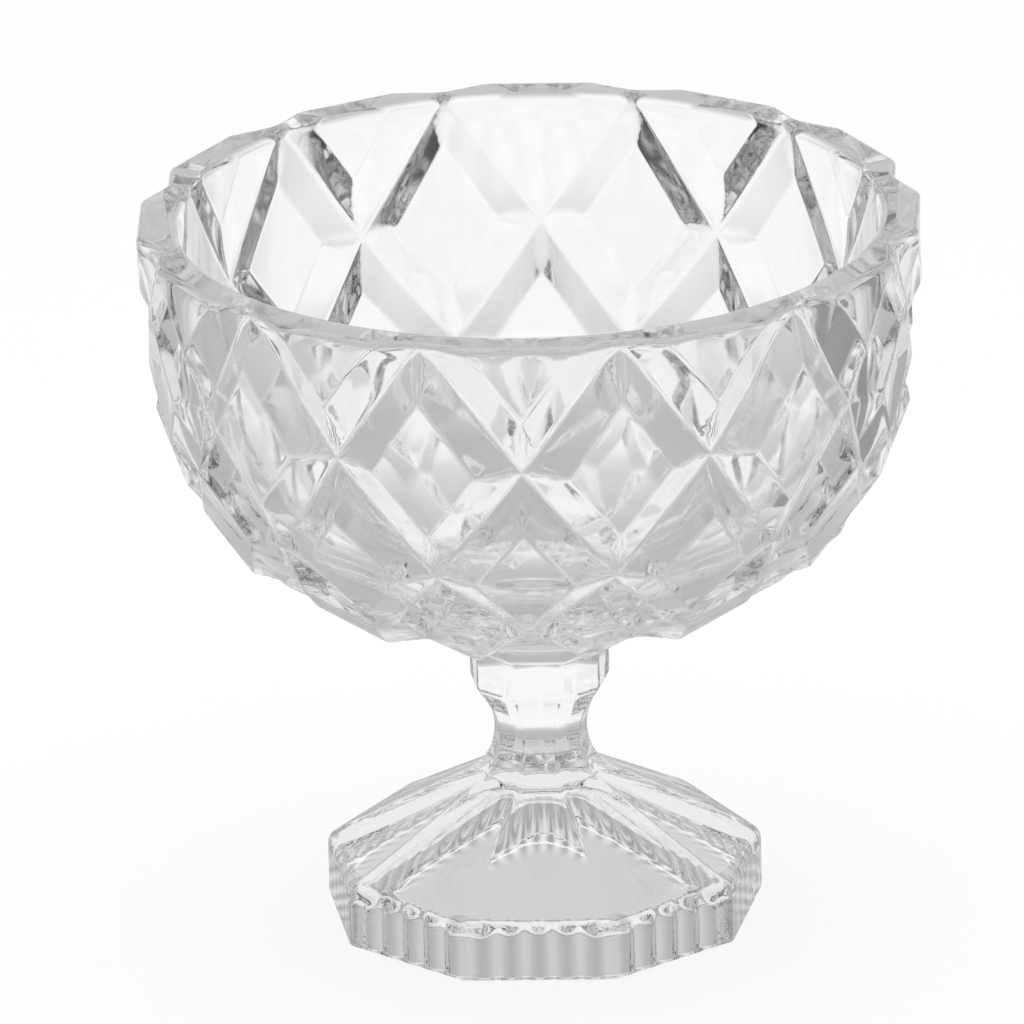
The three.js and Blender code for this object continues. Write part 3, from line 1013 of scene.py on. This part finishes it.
class CENTREPIECE_OT_bond(bpy.types.Operator):
    """Lays the thin bond between boss and collar, drawn in a little at its edge"""
    bl_idname = "centrepiece.bond"
    bl_label = "Lay the bond"

    def execute(self, context):
        scene = context.scene
        shell = BondShell(scene.centrepiece_bond)
        bond = cured_bond(scene.centrepiece_finish)
        dress("cured_bond", shell, bond, "bond_film")
        return {"FINISHED"}


# The stage

CARD_COLUMNS = 24
GLASS_BOUNCES = 32
MIRROR_BOUNCES = 12


def add_floor(stage):
    edge = np.column_stack([circle(ROUND_STEPS) * stage.floor_radius, np.full(ROUND_STEPS, -stage.floor_gap)])
    floor = new_piece("floor", edge, [tuple(range(ROUND_STEPS))], studio_paper(stage))


def add_flag(stage, name, colour, azimuth, span):
    """Upright card on an arc round the bowl that only reflections show; azimuth runs from the back to +X"""
    angles = np.linspace(azimuth - span / 2, azimuth + span / 2, CARD_COLUMNS + 1)
    base = np.column_stack([np.sin(angles), np.cos(angles)]) * stage.card_distance
    edges = [np.column_stack([base, np.full(len(base), z)]) for z in (0.0, stage.card_height)]
    faces = [(i, i + 1, i + CARD_COLUMNS + 2, i + CARD_COLUMNS + 1) for i in range(CARD_COLUMNS)]
    flag = new_piece(name, np.vstack(edges), faces, card(name + "_card", colour, stage.card_grain))
    flag.visible_camera = False
    flag.visible_shadow = False
    flag.visible_diffuse = False


def add_key_light(stage):
    """Soft round light overhead that neither glass nor reflections show"""
    lamp = bpy.data.lights.new("key", "AREA")
    lamp.shape = "DISK"
    lamp.size = stage.key_size
    lamp.energy = stage.key_power
    place = Vector((0.0, stage.key_back, stage.key_height))
    aim = Vector((0.0, 0.0, stage.key_aim))
    holder = bpy.data.objects.new("key", lamp)
    holder.location = place
    holder.rotation_euler = (aim - place).to_track_quat("-Z", "Y").to_euler()
    holder.visible_glossy = False
    holder.visible_transmission = False
    bpy.context.scene.collection.objects.link(holder)


def add_sky(stage):
    """Even light from all round that looks white, and a little grey in reflections"""
    world = bpy.data.worlds.new("studio")
    world.use_nodes = True
    graph = Graph(world.node_tree)

    def background(colour, strength):
        return graph.node("ShaderNodeBackground", None, {"Color": colour, "Strength": strength})

    shown = graph.mix(graph.reflected(), background(WHITE, 1.0), background(rgba(stage.ceiling_tint), 1.0))
    mixed = graph.mix(graph.seen(), background(WHITE, stage.sky_strength), shown)
    graph.surface(mixed, "ShaderNodeOutputWorld")
    bpy.context.scene.world = world


def add_camera(stage):
    """Camera at the photo's angle, with the photo's lean and focal length"""
    rise, roll = stage.camera_rise, stage.camera_roll
    aim = Vector((-stage.camera_aside, 0.0, stage.camera_aim))
    back = Vector((0.0, -math.cos(rise), math.sin(rise)))
    level_right = Vector((1.0, 0.0, 0.0))
    level_up = back.cross(level_right)
    right = level_right * math.cos(roll) - level_up * math.sin(roll)
    up = level_right * math.sin(roll) + level_up * math.cos(roll)
    place = Matrix((right, up, back)).transposed().to_4x4()
    place.translation = aim + back * stage.camera_distance
    lens = bpy.data.cameras.new("camera")
    lens.lens = stage.focal_pixels / PHOTO_PIXELS * lens.sensor_width
    lens.clip_end = stage.camera_reach
    camera = bpy.data.objects.new("camera", lens)
    camera.matrix_world = Matrix.Rotation(stage.camera_turn, 4, "Z") @ place
    bpy.context.scene.collection.objects.link(camera)
    bpy.context.scene.camera = camera


class CENTREPIECE_OT_stage(bpy.types.Operator):
    """Sets up floor, cards, soft light and camera"""
    bl_idname = "centrepiece.stage"
    bl_label = "Set the stage"

    def execute(self, context):
        scene = context.scene
        stage = scene.centrepiece_stage
        add_floor(stage)
        add_flag(stage, "flag_front", stage.flag_tint, math.pi, stage.front_span)
        add_flag(stage, "flag_left", stage.left_tint, -stage.side_turn, stage.side_span)
        add_flag(stage, "flag_right", stage.right_tint, stage.side_turn, stage.side_span)
        add_sky(stage)
        add_key_light(stage)
        add_camera(stage)
        scene.view_settings.view_transform = "Standard"
        scene.cycles.max_bounces = GLASS_BOUNCES
        scene.cycles.transmission_bounces = GLASS_BOUNCES
        scene.cycles.glossy_bounces = MIRROR_BOUNCES
        return {"FINISHED"}


OPERATORS = (CENTREPIECE_OT_bowl, CENTREPIECE_OT_foot, CENTREPIECE_OT_bond, CENTREPIECE_OT_stage)


class CENTREPIECE_PT_panel(bpy.types.Panel):
    """Builds the centrepiece bowl step by step"""
    bl_idname = "CENTREPIECE_PT_panel"
    bl_label = "Centrepiece bowl"
    bl_space_type = "VIEW_3D"
    bl_region_type = "UI"
    bl_category = "Centrepiece"

    def draw(self, context):
        for operator in OPERATORS:
            self.layout.operator(operator.bl_idname)
        for group, kind in GROUPS.items():
            box = self.layout.box()
            box.label(text=kind.__doc__)
            for name in kind.__annotations__:
                box.prop(getattr(context.scene, group), name)


CLASSES = (*GROUPS.values(), *OPERATORS, CENTREPIECE_PT_panel)


def register():
    for cls in CLASSES:
        bpy.utils.register_class(cls)
    for group, kind in GROUPS.items():
        setattr(bpy.types.Scene, group, PointerProperty(type=kind))


def unregister():
    for group in GROUPS:
        delattr(bpy.types.Scene, group)
    for cls in reversed(CLASSES):
        bpy.utils.unregister_class(cls)


def main():
    register()
    bpy.ops.centrepiece.bowl()
    bpy.ops.centrepiece.foot()
    bpy.ops.centrepiece.bond()
    bpy.ops.centrepiece.stage()


if __name__ == "__main__":
    main()
